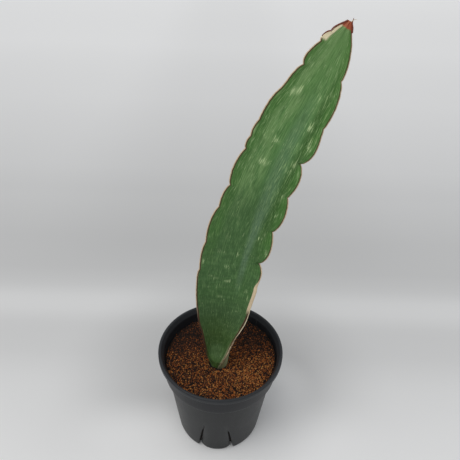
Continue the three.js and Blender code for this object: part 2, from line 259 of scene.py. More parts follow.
# The pale margin that has come away low on the right, and the heights that it runs between
LOOSE_SPAN = (124, 160)
LOOSE_STEPS = 60
LOOSE_REACH = 2.2
LOOSE_WANDER = 0.3
LOOSE_RADIUS = 0.22
LOOSE_SWELL = 0.16
LOOSE_FLATNESS = 0.35

# The dried tip: the heights of its thin edge, its stiff point and its pale strand, each with
# its radius at the start and at the end
TIP_EDGE = (348.5, 361.7)
TIP_EDGE_RADII = (0.30, 0.62)
TIP_POINT = [(77.2, 35.7, 355.6), (77.3, 36.4, 358.4), (76.8, 37.2, 361.2), (77.4, 38.1, 363.8)]
TIP_POINT_RADII = (0.75, 0.174)
TIP_STRAND = [(75.6, 37.6, 361.2), (76.8, 37.6, 362.4), (78.2, 37.4, 363.2), (79.4, 37.0, 363.3)]
TIP_STRAND_RADII = (0.32, 0.056)
STRAND_STEPS = 24
STRAND_SIDES = 6
STRAND_FACING = (0, -1, 0.3)

# A small hollow in the soil in front of the leaf, and the pale fibre beside it
HOLLOW = (-8.7, -19.6)
HOLLOW_DEPTH = 1.8
HOLLOW_SPREAD = 9
FIBRE = [(-7.0, -19.8, 87.0), (-5.8, -18.8, 87.6), (-4.4, -17.4, 87.7), (-3.4, -16.4, 87.2)]
FIBRE_RADII = (0.2, 0.08)

# The camera: where it stands, and how it is turned, pitched down and rolled, in degrees
CAMERA_SPOT = (0, -272.8, 419.7)
CAMERA_YAW = 0.93
CAMERA_PITCH = 35.33
CAMERA_ROLL = -2.10
CAMERA_LENS = 36
CAMERA_SENSOR = 36
CAMERA_NEAREST = 10

# The stage, in metres. Each light: name, place, width, power and colour
FLOOR_CORNERS = [(-4, -4, 0), (4, -4, 0), (4, 6, 0), (-4, 6, 0)]
AIR_COLOUR = (0.96, 0.98, 1.0, 1)
AIR_STRENGTH = 0.42
LIGHTS = [
    ("softbox_above", (-0.45, -0.35, 1.5), 1.1, 9, (1.0, 0.99, 0.97)),
    ("softbox_right", (1.1, 0.2, 0.9), 0.8, 2, (0.97, 0.98, 1.0)),
]
LIGHTS_TARGET = (0, 0, 0.12)


class Wire:
    """One output of a material's node. Sums on wires add the Math nodes that do them."""

    def __init__(self, finish, socket):
        self.finish = finish
        self.socket = socket

    def __add__(self, other):
        return self.finish.sum("ADD", self, other)

    def __sub__(self, other):
        return self.finish.sum("SUBTRACT", self, other)

    def __rsub__(self, other):
        return self.finish.sum("SUBTRACT", other, self)

    def __mul__(self, other):
        return self.finish.sum("MULTIPLY", self, other)

    def __truediv__(self, other):
        return self.finish.sum("DIVIDE", self, other)

    def __abs__(self):
        return self.finish.sum("ABSOLUTE", self)

    __radd__ = __add__
    __rmul__ = __mul__


class Finish:
    """A material that is built up from nodes."""

    def __init__(self, name):
        self.material = bpy.data.materials.new(name)
        self.material.use_nodes = True
        self.tree = self.material.node_tree
        self.tree.nodes.clear()
        self.skin = None

    def node(self, kind, settings, sockets, output=0):
        """Adds a node: its settings first, then the values or wires of its sockets."""
        made = self.tree.nodes.new(kind)
        for name, value in settings.items():
            if name == "stops":
                set_stops(made.color_ramp, value)
            else:
                setattr(made, name, value)
        for name, value in sockets.items():
            if isinstance(value, Wire):
                self.tree.links.new(value.socket, made.inputs[name])
            else:
                made.inputs[name].default_value = value
        return Wire(self, made.outputs[output]) if made.outputs else None

    def sum(self, operation, *values):
        return self.node("ShaderNodeMath", {"operation": operation}, dict(enumerate(values)))

    def parts(self, vector):
        return [self.node("ShaderNodeSeparateXYZ", {}, {0: vector}, axis) for axis in "XYZ"]

    def place(self, name):
        """The three numbers of a vector that the mesh holds at each point."""
        return self.parts(self.node("ShaderNodeAttribute", {"attribute_name": name}, {}, "Vector"))

    def number(self, name):
        """A number that the mesh holds at each point."""
        return self.node("ShaderNodeAttribute", {"attribute_name": name}, {}, "Fac")

    def spot(self):
        """The point on the object, in metres in the part's own frame."""
        return self.node("ShaderNodeTexCoord", {}, {}, "Object")

    def vector(self, x, y, z):
        return self.node("ShaderNodeCombineXYZ", {}, {0: x, 1: y, 2: z})

    def noise(self, vector, scale, detail=2.0, roughness=0.5):
        sockets = {"Vector": vector, "Scale": scale, "Detail": detail, "Roughness": roughness}
        return self.node("ShaderNodeTexNoise", {}, sockets)

    def step(self, value, low, high):
        """0 under low and 1 over high, with a smooth rise between them."""
        sockets = {"Value": value, "From Min": low, "From Max": high}
        return self.node("ShaderNodeMapRange", {"interpolation_type": "SMOOTHSTEP"}, sockets)

    def blend(self, amount, under, over):
        """One colour over another, by an amount from 0 to 1."""
        settings = {"data_type": "RGBA", "clamp_factor": True}
        return self.node("ShaderNodeMix", settings, {0: amount, 6: under, 7: over}, 2)

    def lay(self, amount, colour):
        """Lays a colour over the skin so far, by an amount from 0 to 1."""
        self.skin = self.blend(amount, self.skin, colour)

    def ramp(self, value, stops):
        return self.node("ShaderNodeValToRGB", {"stops": stops}, {0: value})

    def bump(self, height, distance):
        sockets = {"Height": height, "Distance": distance, "Strength": 1.0}
        return self.node("ShaderNodeBump", {}, sockets)

    def finished(self, **sockets):
        """Ends the material with a shader, whose sockets besides the skin are given by name."""
        named = {name.replace("_", " "): value for name, value in sockets.items()}
        named["Base Color"] = self.skin
        shader = self.node("ShaderNodeBsdfPrincipled", {}, named)
        self.node("ShaderNodeOutputMaterial", {"target": "ALL"}, {"Surface": shader})
        return self.material


def set_stops(ramp, stops):
    """Gives a colour ramp its stops: (position, colour), in rising order."""
    while len(ramp.elements) > len(stops):
        ramp.elements.remove(ramp.elements[-1])
    while len(ramp.elements) < len(stops):
        ramp.elements.new(1.0)
    for element, (position, colour) in zip(ramp.elements, stops):
        element.position = position
        element.color = colour


def tone(code):
    """A colour given as red, green and blue of 0 to 255, as a node's colour."""
    parts = [(code >> shift & 255) / 255 for shift in (16, 8, 0)]
    linear = [((part + 0.055) / 1.055) ** 2.4 if part > 0.04045 else part / 12.92 for part in parts]
    return (*linear, 1)


def grey(level):
    return (level, level, level, 1)


def smooth(value, low, high):
    """0 at low and 1 at high, with a smooth rise between them."""
    part = min(max((value - low) / (high - low), 0), 1)
    return part * part * (3 - 2 * part)


def lerp(low, high, part):
    return low + (high - low) * part


def around(radius, turn):
    return radius * math.sin(turn), radius * math.cos(turn)


def near_spot(x, y, spot, spread):
    """1 at a spot, and less and less around it."""
    return math.exp(-((x - spot[0]) ** 2 + (y - spot[1]) ** 2) / spread)


def add_piece(name, points, faces, material, replaced=None):
    """Makes an object from points in millimetres, with its finish and body."""
    mesh = bpy.data.meshes.new(name)
    mesh.from_pydata((np.array(points, dtype=float) * MM).tolist(), [], faces)
    mesh.materials.append(material)
    mesh.polygons.foreach_set("use_smooth", [True] * len(mesh.polygons))
    mesh.update()
    piece = bpy.data.objects.new(name, mesh)
    bpy.context.scene.collection.objects.link(piece)
    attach(piece, "root")
    if replaced:
        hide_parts(replaced)
    return piece


def hold(piece, name, values):
    """Keeps a number or a vector at each point of a mesh, for its finish to read."""
    values = np.array(values, dtype=np.float32)
    kind, field = ("FLOAT_VECTOR", "vector") if values.ndim == 2 else ("FLOAT", "value")
    made = piece.data.attributes.new(name, kind, "POINT")
    made.data.foreach_set(field, values.ravel())


def ring_faces(rings, count, skipped=None):
    """Quads between rings of count points each, apart from the skipped ones."""
    faces = []
    for i in range(rings - 1):
        for j in range(count):
            if skipped and skipped(i, j):
                continue
            k = (j + 1) % count
            faces.append((i * count + j, i * count + k, (i + 1) * count + k, (i + 1) * count + j))
    return faces


def end_caps(rings, count):
    """The faces that close the first and the last ring."""
    last = (rings - 1) * count
    return [tuple(reversed(range(count))), tuple(range(last, last + count))]


def arc(radius, z, size, start, end, steps):
    """Points of [radius, z] on a circle, from one angle in degrees to another."""
    angles = [(start + (end - start) * i / steps) * DEGREE for i in range(steps + 1)]
    return [[radius + size * math.cos(angle), z + size * math.sin(angle)] for angle in angles]


def tidy_normals(piece):
    """Turns the faces of a closed mesh outwards."""
    shape = bmesh.new()
    shape.from_mesh(piece.data)
    bmesh.ops.recalc_face_normals(shape, faces=shape.faces)
    shape.to_mesh(piece.data)
    shape.free()


# The pot
def tongue_side(z):
    """The angle from a tongue's middle to its side, in degrees."""
    return TONGUE_HALF_ANGLE - TONGUE_NARROWING * min(z, TONGUE_TOP)


def tongue_fade(z):
    """How far the tongues' sides are drawn in: 1 at the table and 0 at their top."""
    return smooth(TONGUE_TOP - z, 0, TONGUE_TOP)


def wall_radius(z):
    return FOOT_RADIUS + (WALL_TOP_RADIUS - FOOT_RADIUS) * z / COLLAR_FOOT


def collar_radius(z):
    part = (z - COLLAR_FOOT) / (LIP_FOOT - COLLAR_FOOT)
    return COLLAR_FOOT_RADIUS + (COLLAR_TOP_RADIUS - COLLAR_FOOT_RADIUS) * part


def sector_columns():
    """The columns of a tongue's sector from end to end: side, zone, and part of that zone."""
    tongue = [("tongue", i / TONGUE_COLUMNS) for i in range(1, TONGUE_COLUMNS + 1)]
    slit = [("slit", 0), ("slit", 1)]
    shoulder = [("shoulder", i / SHOULDER_COLUMNS) for i in range(1, SHOULDER_COLUMNS + 1)]
    wall = [("wall", i / WALL_COLUMNS) for i in range(1, WALL_COLUMNS + 1)]
    right = [(1, *column) for column in tongue + slit + shoulder + wall]
    left = [(-1, zone, part) for _, zone, part in reversed(right[:-1])]
    return left + [(1, "tongue", 0)] + right


def column_angle(zone, part, radius, z):
    """The angle from a tongue's middle to a column, in degrees."""
    side = tongue_side(z)
    near = side + SLIT_INSET / radius / DEGREE
    up = min(z / SLIT_TOP, 1)
    crown = max((up - (1 - SLIT_CROWN)) / SLIT_CROWN, 0)
    rounding = math.sqrt(max(1 - crown ** 2, 0))
    width = SLIT_WIDTH * (1 - SLIT_TAPER * up) * rounding + SLIT_LEAST
    far = near + width / radius / DEGREE
    shoulder = max(side + SHOULDER_ANGLE, far + SHOULDER_LEAST)
    if zone == "tongue":
        return part * side
    if zone == "slit":
        return lerp(near, far, part)
    if zone == "shoulder":
        return lerp(far, shoulder, part)
    return lerp(shoulder, 180 / TONGUES, part)


def wall_point(radius, z, sector, column):
    sign, zone, part = column
    angle = column_angle(zone, part, radius, z)
    side = tongue_side(z)
    if zone == "tongue":
        drawn = part ** 3
    else:
        drawn = 1 - smooth(angle, side, side + SHOULDER_ANGLE)
    r = radius - TONGUE_DEPTH * tongue_fade(z) * drawn * min(radius / FOOT_RADIUS, 1) ** 4
    creased = zone == "slit" and sector == 0 and sign < 0 and z >= SLIT_TOP
    if creased and radius > wall_radius(z) - WALL / 2:
        r -= CREASE_DEPTH * smooth(z, CREASE_TOP, SLIT_TOP)
    turned = (TONGUE_AZIMUTH + sector * 360 / TONGUES + sign * angle) * DEGREE
    return [r * math.sin(turned), -r * math.cos(turned), z]


def pot_rows():
    """The pot's section as runs of [radius, z]: its pad, its outside up to the slits' tops,
    over the lip and down again, its inside from there down, and its floor."""
    ring_inside = FOOT_RADIUS - FOOT_ROUNDING - STANDING_RING
    pad = [[CENTRE_RING, 0], [PAD_RING, 0], [PAD_RADIUS, 0]]
    pad += [[PAD_RADIUS + RISE_RUN, UNDERSIDE_RISE], [FLOOR_RING, UNDERSIDE_RISE]]
    outer = [[SLIT_END, UNDERSIDE_RISE], [ring_inside - RISE_RUN, UNDERSIDE_RISE], [ring_inside, 0]]
    outer += arc(FOOT_RADIUS - FOOT_ROUNDING, FOOT_ROUNDING, FOOT_ROUNDING, -90, 0, ROUNDING_STEPS)
    outer += [[wall_radius(z), z] for z in np.linspace(FOOT_ROUNDING, SLIT_TOP, SLIT_ROWS)[1:]]

    over = [[wall_radius(z), z] for z in np.linspace(SLIT_TOP, COLLAR_FOOT, WALL_ROWS)[1:]]
    low, chamfer = COLLAR_FOOT + COLLAR_CHAMFER, COLLAR_CHAMFER
    over += arc(COLLAR_FOOT_RADIUS - chamfer, low, chamfer, -90, 0, ROUNDING_STEPS)
    over += [[collar_radius(z), z] for z in np.linspace(low, LIP_FOOT, COLLAR_ROWS)[1:]]
    edge, half = LIP_RADIUS - LIP_CHAMFER, LIP_WIDTH / 2
    over += [[edge, LIP_FOOT]]
    over += arc(edge, LIP_FOOT + LIP_CHAMFER, LIP_CHAMFER, -60, 0, CHAMFER_STEPS)
    over += arc(LIP_RADIUS - half, POT_HEIGHT - half, half, 0, 180, LIP_STEPS)
    ledge, under = COLLAR_FOOT + 2 * INSIDE_STEP, COLLAR_FOOT + INSIDE_STEP
    for z in np.linspace(LIP_FOOT, ledge, INSIDE_COLLAR_ROWS):
        over.append([collar_radius(z) - WALL, z])
    for z in np.linspace(under, SLIT_TOP, INSIDE_WALL_ROWS)[:-1]:
        over.append([wall_radius(z) - WALL, z])

    corner_top = FLOOR_TOP + FLOOR_ROUNDING
    corner = wall_radius(corner_top) - WALL - FLOOR_ROUNDING
    inner = [[SLIT_END, FLOOR_TOP], [ring_inside - RISE_RUN, FLOOR_TOP], [ring_inside, FLOOR_TOP]]
    inner += arc(corner, corner_top, FLOOR_ROUNDING, -90, 0, ROUNDING_STEPS)
    inner += [[wall_radius(z) - WALL, z] for z in np.linspace(corner_top, SLIT_TOP, SLIT_ROWS)[1:]]
    floor = [[FLOOR_RING, FLOOR_TOP], [PAD_RADIUS + PAD_STEP, FLOOR_TOP]]
    floor += [[PAD_RADIUS - PAD_STEP, FLOOR], [CENTRE_RING, FLOOR]]
    return pad, outer, over, inner[::-1], floor


def slit_faces(outs, ins, low, high):
    """The walls of a slit between two columns, from rows outside the pot to rows inside it."""
    faces = []
    for k in range(len(outs) - 1):
        faces.append((outs[k] + low, outs[k + 1] + low, ins[k + 1] + low, ins[k] + low))
        faces.append((outs[k] + high, ins[k] + high, ins[k + 1] + high, outs[k + 1] + high))
    for k in (0, len(outs) - 1):
        faces.append((outs[k] + low, ins[k] + low, ins[k] + high, outs[k] + high))
    return faces


def pot_piece(material):
    pad, outer, over, inner, floor = pot_rows()
    rows = pad + outer + over + inner + floor
    columns = sector_columns()
    count = TONGUES * len(columns)
    points = [wall_point(r, z, s, c) for r, z in rows for s in range(TONGUES) for c in columns]
    outs = [(len(pad) + k) * count for k in range(len(outer))]
    ins = [(len(rows) - len(floor) - 1 - k) * count for k in range(len(inner))]
    slits = []
    for j in range(count):
        sign, zone, part = columns[j % len(columns)]
        if (zone, part) == ("slit", 0):
            slits.append((j, j + 1) if sign > 0 else (j - 1, j))
    cut_rows = {start // count for start in outs[:-1] + ins[1:]}
    cut_columns = {low for low, high in slits}
    faces = ring_faces(len(rows), count, lambda i, j: i in cut_rows and j in cut_columns)
    for low, high in slits:
        faces += slit_faces(outs, ins, low, high)
    faces += end_caps(len(rows), count)
    pot = add_piece("pot_shell", points, faces, material, replaced="pot")
    tidy_normals(pot)
    pot.data.set_sharp_from_angle(angle=SHARP_ANGLE * DEGREE)


# The leaf
def along(rows, position, column):
    """Reads a smooth curve through rows of [position, value, ...] at a position."""
    last = len(rows) - 1
    i = 0
    while i < last - 1 and position > rows[i + 1][0]:
        i += 1

    def slope(k):
        before, after = rows[max(k - 1, 0)], rows[min(k + 1, last)]
        return (after[column] - before[column]) / (after[0] - before[0])

    span = rows[i + 1][0] - rows[i][0]
    s = (position - rows[i][0]) / span
    rise = s * s * (3 - 2 * s)
    start = slope(i) * span * s * (1 - s) ** 2
    end = slope(i + 1) * span * s * s * (1 - s)
    return rows[i][column] * (1 - rise) + rows[i + 1][column] * rise + start - end


def margin_at(notches, z):
    """How far a margin stands out at a height, and how deep in a notch it is."""
    if z <= notches[0][0] or z >= notches[-1][0]:
        return 0, 0
    i = 0
    while z > notches[i + 1][0]:
        i += 1
    part = (z - notches[i][0]) / (notches[i + 1][0] - notches[i][0])
    drawn = lerp(notches[i][1], notches[i + 1][1], part)
    lobe = math.sin(math.pi * part) ** LOBE_ROUNDNESS
    return lerp(-drawn, notches[i][2], lobe), drawn * (1 - lobe)


class LeafRow:
    """One height of the leaf: its middle, the way across and the way that its face looks."""

    def __init__(self, z):
        self.z = z
        self.middle = self.spot(z)
        up = (self.spot(z + 0.5) - self.spot(z - 0.5)).normalized()
        across = up.cross(Vector((0, -1, 0))).normalized()
        face = across.cross(up).normalized()
        turn = along(LEAF_STATIONS, z, 5) * DEGREE
        self.across = across * math.cos(turn) + face * math.sin(turn)
        self.face = face * math.cos(turn) - across * math.sin(turn)
        self.width = along(LEAF_STATIONS, z, 3)
        self.bend = self.width / along(LEAF_STATIONS, z, 4)
        self.swell = (along(THICKNESS_STATIONS, z, 1) - MARGIN_THICKNESS) / 2
        self.filling = FILLING * (1 - smooth(z, FILLING_TOP, FILLING_END))
        self.margins = {1: margin_at(RIGHT_NOTCHES, z), -1: margin_at(LEFT_NOTCHES, z)}

    def spot(self, z):
        return Vector((along(LEAF_STATIONS, z, 1), along(LEAF_STATIONS, z, 2), z))

    def lift(self, side):
        return MARGIN_THICKNESS / 2 + self.swell * max(1 - side * side, 0) ** THICKNESS_FALL

    def front_lift(self, side):
        return min(self.lift(side) + self.filling * (1 - side * side), FILLING_LIMIT * self.bend)

    def point(self, side, lift, extra=0.0):
        """A point at a side from -1 to 1, lifted off the leaf's middle and moved out by extra."""
        sign = 1 if side > 0 else -1
        reach, depth = self.margins[sign]
        near = smooth(abs(side), 1 - WAVE_WIDTH, WAVE_REACH)
        torn = RAGGED + TORN * smooth(self.z, *TORN_SPAN) * (sign > 0)
        rough = noise.noise(Vector((0, RAGGED_LANE * sign, RAGGED_PITCH * self.z)))
        half = self.width + reach * near + extra + torn * rough * near
        angle = side * half / self.bend
        waves = noise.noise(Vector((RIPPLE_ACROSS * side, 0, RIPPLE_PITCH * self.z)))
        ripple = RIPPLE * waves * smooth(self.z, *RIPPLE_SPAN)
        radius = self.bend - lift - ripple + sign * WAVE_SWING * depth * near
        outward = self.across * (radius * math.sin(angle))
        return self.middle + outward + self.face * (self.bend - radius * math.cos(angle))


def blotch_strength(z, side, blotches):
    """How pale the blotches make a point, from 0 to 1."""
    total = 0
    for height, middle, length, width, strength in blotches:
        if abs(z - height) < 3 * length:
            away = ((z - height) / length) ** 2 + ((side - middle) / width) ** 2
            total += strength * math.exp(-away)
    return min(total, 1)


def back_blotches():
    draw = random.Random(BACK_SEED)
    heights = [z + draw.uniform(-BACK_STRAY, BACK_STRAY) for z in BACK_ROWS for _ in range(4)]
    return [[z, *(draw.uniform(*span) for span in BACK_SPANS)] for z in heights]


def face_point(row, side):
    """A point of the leaf's face, which runs straight between the margins at the foot."""
    point = row.point(side, row.front_lift(side))
    left, right = [row.point(end, MARGIN_THICKNESS / 2) for end in (-1, 1)]
    straight = left.lerp(right, (side + 1) / 2) + row.face * (CLOSED_SWELL * (1 - side * side))
    return point.lerp(straight, smooth(row.z, CLOSED_TOP, CLOSED_FOOT))


def leaf_ring(row, sides, behind):
    """The leaf's points at one height, over the face, the right margin, the back and the left
    margin: each with its place on the leaf, how far it is on the back, and how pale it is."""
    turns = [math.pi * k / RIM_STEPS for k in range(1, RIM_STEPS)]

    def skin(side, back):
        point = row.point(side, -row.lift(side)) if back else face_point(row, side)
        pale = blotch_strength(row.z, side, behind if back else BLOTCHES)
        return point, (side, row.z, (1 - abs(side)) * row.width), back, pale

    def rim(end, turn):
        sideways = MARGIN_ROUNDING * math.sin(turn)
        point = row.point(end, MARGIN_THICKNESS / 2 * math.cos(turn), sideways)
        return point, (end, row.z, -turn / math.pi * MARGIN_THICKNESS), turn / math.pi, 0

    ring = [skin(side, 0) for side in sides] + [rim(1, turn) for turn in turns]
    ring += [skin(side, 1) for side in reversed(sides)]
    return ring + [rim(-1, turn) for turn in reversed(turns)]


def leaf_piece(material):
    lowest, highest = LEAF_STATIONS[0][0], LEAF_STATIONS[-1][0]
    rows = round((highest - lowest) / LEAF_ROW_STEP)
    spread = [-1 + 2 * i / LEAF_COLUMNS for i in range(LEAF_COLUMNS + 1)]
    sides = [EVEN_SPACING * t + (1 - EVEN_SPACING) * math.sin(math.pi / 2 * t) for t in spread]
    behind = back_blotches()
    heights = [lowest + (highest - lowest) * i / rows for i in range(rows + 1)]
    rings = [leaf_ring(LeafRow(z), sides, behind) for z in heights]
    points, places, backs, pales = zip(*[entry for ring in rings for entry in ring])
    count = len(rings[0])
    faces = ring_faces(rows + 1, count) + end_caps(rows + 1, count)
    leaf = add_piece("leaf_blade", points, faces, material, replaced="leaf")
    hold(leaf, "place", places)
    hold(leaf, "back", backs)
    hold(leaf, "pale", pales)
    tidy_normals(leaf)


# The loose parts of the leaf: a margin that has come away, and the dried tip
def strand_piece(name, path, radii, material, flatness=1.0):
    """A thin body along a path, round or flattened, that tapers as its radii say."""
    points = []
    for i, (spot, radius) in enumerate(zip(path, radii)):
        ahead = (path[min(i + 1, len(path) - 1)] - path[max(i - 1, 0)]).normalized()
        across = ahead.cross(Vector(STRAND_FACING)).normalized()
        face = across.cross(ahead)
        for k in range(STRAND_SIDES):
            turn = 2 * math.pi * k / STRAND_SIDES
            sideways = across * (radius * math.cos(turn))
            points.append(spot + sideways + face * (radius * flatness * math.sin(turn)))
    faces = ring_faces(len(path), STRAND_SIDES) + end_caps(len(path), STRAND_SIDES)
    tidy_normals(add_piece(name, points, faces, material))


def soften(spots):
    """Even points on a smooth curve through a few spots."""
    rows = [[i, *spot] for i, spot in enumerate(spots)]
    places = [(len(spots) - 1) * k / STRAND_STEPS for k in range(STRAND_STEPS + 1)]
    return [Vector([along(rows, place, column) for column in (1, 2, 3)]) for place in places]


def taper(radii):
    """Even steps from a strand's first radius to its last."""
    return [lerp(*radii, k / STRAND_STEPS) for k in range(STRAND_STEPS + 1)]


def loose_margin_piece(material):
    """The pale margin that has come away from the right side low on the leaf."""
    path, radii = [], []
    for i in range(LOOSE_STEPS + 1):
        part = i / LOOSE_STEPS
        row = LeafRow(lerp(*LOOSE_SPAN, part))
        away = LOOSE_REACH * math.sin(math.pi * part) ** 1.5
        away += LOOSE_WANDER * noise.noise(Vector((3, 0, 9 * part)))
        path.append(row.point(1, 0.2 + 0.3 * away, 0.35 + 0.6 * away))
        radii.append(LOOSE_RADIUS + LOOSE_SWELL * math.sin(math.pi * part) ** 2)
    strand_piece("leaf_loose_margin", path, radii, material, flatness=LOOSE_FLATNESS)


def dry_tip_pieces(dried, cream):
    """The thin dried edge of the tip's left side, its stiff point and its pale strand."""
    path = []
    for i in range(STRAND_STEPS + 1):
        part = i / STRAND_STEPS
        row = LeafRow(lerp(*TIP_EDGE, part))
        path.append(row.point(-1, 0.3, 0.5 + 0.8 * math.sin(math.pi * part) ** 2))
    strand_piece("leaf_dry_edge", path, taper(TIP_EDGE_RADII), dried)
    strand_piece("leaf_dry_point", soften(TIP_POINT), taper(TIP_POINT_RADII), dried)
    strand_piece("leaf_pale_strand", soften(TIP_STRAND), taper(TIP_STRAND_RADII), cream)


# The soil
def soil_height(x, y):
    """How high the soil's surface lies, in millimetres over the table."""
    lumps = SOIL_LUMPS * noise.noise(Vector((x / LUMP_PITCH, y / LUMP_PITCH, 3)))
    hollow = HOLLOW_DEPTH * near_spot(x, y, HOLLOW, HOLLOW_SPREAD)
    heap = HEAP * smooth(math.hypot(x, y), *HEAP_SPAN) * (1 if x > 0 else HEAP_ON_LEFT)
    return SOIL_LEVEL - SOIL_SINK + (SOIL_SLOPE * x + heap) + lumps - hollow


def soil_body(material):
    """The soil under its grains, down to the pot's floor."""
    turns = [2 * math.pi * j / BODY_COLUMNS for j in range(BODY_COLUMNS)]
    rings = []
    for i in range(1, BODY_RINGS + 1):
        r = (SOIL_RADIUS + BODY_OVERLAP) * i / BODY_RINGS
        ring = []
        for turn in turns:
            x, y = around(r, turn)
            fine = BODY_ROUGHNESS * noise.noise(Vector((x, y, 0)))
            ring.append((x, y, soil_height(x, y) - BODY_DEPTH + fine))
        rings.append(ring)
    for z in BODY_HEIGHTS:
        wall = collar_radius(z) if z > COLLAR_FOOT + BODY_STEP else wall_radius(z)
        r = wall - WALL - BODY_GAP - TONGUE_DEPTH * tongue_fade(z)
        rings.append([(*around(r, turn), z) for turn in turns])
    points = [point for ring in rings for point in ring]
    faces = ring_faces(len(rings), BODY_COLUMNS) + end_caps(len(rings), BODY_COLUMNS)
    tidy_normals(add_piece("soil_body", points, faces, material, replaced="soil"))


def leaf_section():
    """Points inside the leaf where it comes out of the soil, for the grains to keep clear of."""
    row = LeafRow(SOIL_LEVEL + 0.5)
    return np.array([row.point(side, 0)[:2] for side in np.linspace(-1, 1, 81)])


def grain_spots(count, largest, draw):
    """Random points on the soil, clear of the pot's wall and of the leaf."""
    section = leaf_section()
    spots = []
    while len(spots) < count:
        r, turn = SOIL_RADIUS * math.sqrt(draw.random()), draw.uniform(0, 2 * math.pi)
        x, y = around(r, turn)
        gap = np.hypot(section[:, 0] - x, section[:, 1] - y).min()
        inside = math.hypot(x, y) < SOIL_RADIUS - 0.4 * largest
        if inside and gap > LEAF_CLEARANCE + 0.3 * largest:
            spots.append((x, y))
    return spots


def icosahedron():
    """The 12 points and 20 faces of an icosahedron with a radius of 1."""
    golden = (1 + math.sqrt(5)) / 2
    pairs = [(s, t * golden) for s in (-1, 1) for t in (-1, 1)]
    corners = [(a, b, 0) for a, b in pairs]
    corners += [(0, a, b) for a, b in pairs]
    corners += [(b, 0, a) for a, b in pairs]
    points = np.array(corners) / math.hypot(1, golden)
    faces = []
    for i, j, k in itertools.combinations(range(12), 3):
        a, b, c = points[i], points[j], points[k]
        if max(np.linalg.norm(side) for side in (a - b, b - c, c - a)) < 1.1:
            outward = np.dot(np.cross(b - a, c - a), a) > 0
            faces.append((i, j, k) if outward else (i, k, j))
    return points, np.array(faces)


def grains_piece(name, material, spots, sizes, rises, shades, seed):
    """One mesh of many grains: each a dented, stretched and turned lump."""
    rng = np.random.default_rng(seed)
    base, base_faces = icosahedron()
    corners, count = len(base), len(spots)
    quats = rng.normal(size=(count, 4))
    turns = np.array([Quaternion(q).normalized().to_matrix() for q in quats.tolist()])
    stretch = rng.uniform(*GRAIN_STRETCH, size=(count, 1, 3))
    dents = rng.uniform(*GRAIN_DENTS, size=(count, corners, 1))
    shapes = np.einsum("nij,nkj->nki", turns, base[None] * stretch * dents)
    grounds = np.array([soil_height(x, y) for x, y in spots])
    middles = np.column_stack([np.array(spots), grounds + np.array(rises)])
    points = shapes * (np.array(sizes)[:, None, None] / 2) + middles[:, None, :]
    faces = (base_faces[None] + corners * np.arange(count)[:, None, None]).reshape(-1, 3)
    piece = add_piece(name, points.reshape(-1, 3), faces.tolist(), material)
    hold(piece, "shade", np.repeat(shades, corners))


def grain_shade(x, y, draw):
    """How light a grain is, from 0 for nearly black to 1 for pale, with painted shade at the back
    and on the left.
    """
    light = 0.15 * near_spot(x, y, WARM_SPOT, WARM_SPREAD)
    light += 0.22 * near_spot(x, y, PALE_PATCH, PATCH_SPREAD)
    # Painted shade: the grains are darker behind the leaf, at the back on the right and along the
    # left wall, where the leaf and the pot's rim shade the soil, and they vary less at the back.
    behind = 0.13 * smooth(y, -4, 30)
    painted_shade_right = 0.06 * smooth(x, 10, 26) * smooth(y, -6, 12)
    painted_shade_left = 0.06 * smooth(-x, 5, 40)
    spread = 0.40 - 0.18 * smooth(y, -8, 16)
    shade = draw.gauss(USUAL_SHADE + light - behind - painted_shade_right - painted_shade_left, spread)
    return min(max(shade, 0), PALEST_SHADE)


def soil_grains(material, dust):
    draw = random.Random(GRAIN_SEED)
    for name, count, smallest, largest, rise, seed in GRAIN_LAYERS:
        spots = grain_spots(count, largest, draw)
        sizes = [lerp(smallest, largest, draw.random() ** GRAIN_SMALLNESS) for _ in spots]
        rises = [rise + draw.uniform(-GRAIN_SCATTER, GRAIN_SCATTER) for _ in spots]
        shades = [grain_shade(x, y, draw) for x, y in spots]
        grains_piece(name, material, spots, sizes, rises, shades, seed)
    spots = grain_spots(DUST_COUNT, DUST_LARGEST, draw)
    sizes = [draw.uniform(*DUST_SIZES) for _ in spots]
    rises = [draw.uniform(*DUST_RISES) for _ in spots]
    shades = [grain_shade(x, y, draw) for x, y in spots]
    grains_piece("soil_dust", dust, spots, sizes, rises, shades, DUST_SEED)


def pot_crumbs(material):
    """Crumbs of soil that lie against the wall, all round the edge of the soil."""
    place_seed, shape_seed = CRUMB_SEEDS
    draw = random.Random(place_seed)
    spots, sizes = [], []
    for _ in range(CRUMB_COUNT):
        turn = draw.uniform(0, 2 * math.pi)
        spots.append(around(draw.uniform(*CRUMB_RADII), turn))
        sizes.append(draw.uniform(*CRUMB_SIZES))
    rises = [draw.uniform(*CRUMB_RISES) for _ in spots]
    shades = [draw.uniform(*CRUMB_SHADES) for _ in spots]
    grains_piece("soil_crumbs", material, spots, sizes, rises, shades, shape_seed)


# The finishes
def leaf_fields(finish):
    """What the leaf's finish reads at each point, and the noises that its markings share."""
    side, height, inside = finish.place("place")
    back = finish.number("back")

    def strands(wide, long, lane, detail, roughness=0.5):
        """A noise drawn out along the leaf, by how fast it changes across and along it."""
        spot = finish.vector(side * 24 * wide, height * long, back * 9 + lane)
        return finish.noise(spot, 1, detail, roughness)

    return SimpleNamespace(
        side=side, height=height, inside=inside, back=back, front=1 - back,
        pale=finish.number("pale"), right=finish.step(side, 0, 0.1),
        streaks=strands(1.1, 0.10, 0, 3, 0.6), threads=strands(2.6, 0.20, 4, 2),
        clouds=strands(0.16, 0.06, 0, 3), bands=strands(0.14, 0.36, 7, 2),
        fine=strands(1.15, 0.085, 2, 3, 0.65), marks=strands(1.2, 0.13, 6, 2, 0.6),
    )


